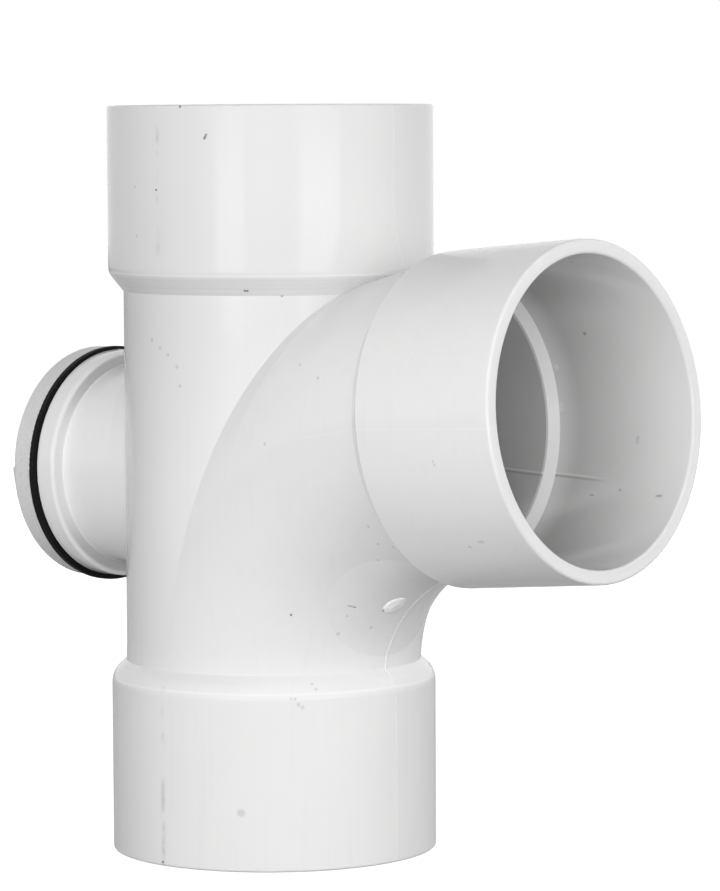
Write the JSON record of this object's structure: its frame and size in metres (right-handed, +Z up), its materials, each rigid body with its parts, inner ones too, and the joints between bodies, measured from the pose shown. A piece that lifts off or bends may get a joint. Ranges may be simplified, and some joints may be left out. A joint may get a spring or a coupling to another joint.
{
  "type": "swept drainage pipe junction",
  "caption": "Swept drainage pipe junction with plain solvent-weld sockets on the run and the branch, and a screwed inspection cap with a rubber seal behind it",
  "frame": {"origin": "centre of the bottom socket's mouth, on the plane of its rim", "axes": "+Z up the main run, +X the way the swept branch leaves, -X the way the inspection cap faces"},
  "size_m": [0.2593, 0.1208, 0.2764],
  "materials": {
    "body_plastic": "smooth moulded white PVC-U with a soft sheen",
    "seal_rubber": "black rubber, smooth",
    "cap_plastic": "fine-grained moulded white plastic, a little greyer than the body"
  },
  "bodies": {
    "junction": {"junction_body": "body_plastic"},
    "seal": {"seal_ring": "seal_rubber"},
    "cap": {"inspection_cap": "cap_plastic"}
  },
  "joints": [
    {"name": "cap_travel", "type": "slide", "parent": "junction", "child": "seal", "axis": [-1, 0, 0], "range_m": [0, 0.0105]},
    {"name": "cap_turn", "type": "hinge", "parent": "seal", "child": "cap", "pos_m": [-0.0838, 0, 0.14], "axis": [-1, 0, 0], "range_deg": [0, 1080]}
  ],
  "couplings": [
    {"joint": "cap_travel", "follows": "cap_turn", "m_per_rad": 0.00055704}
  ]
}
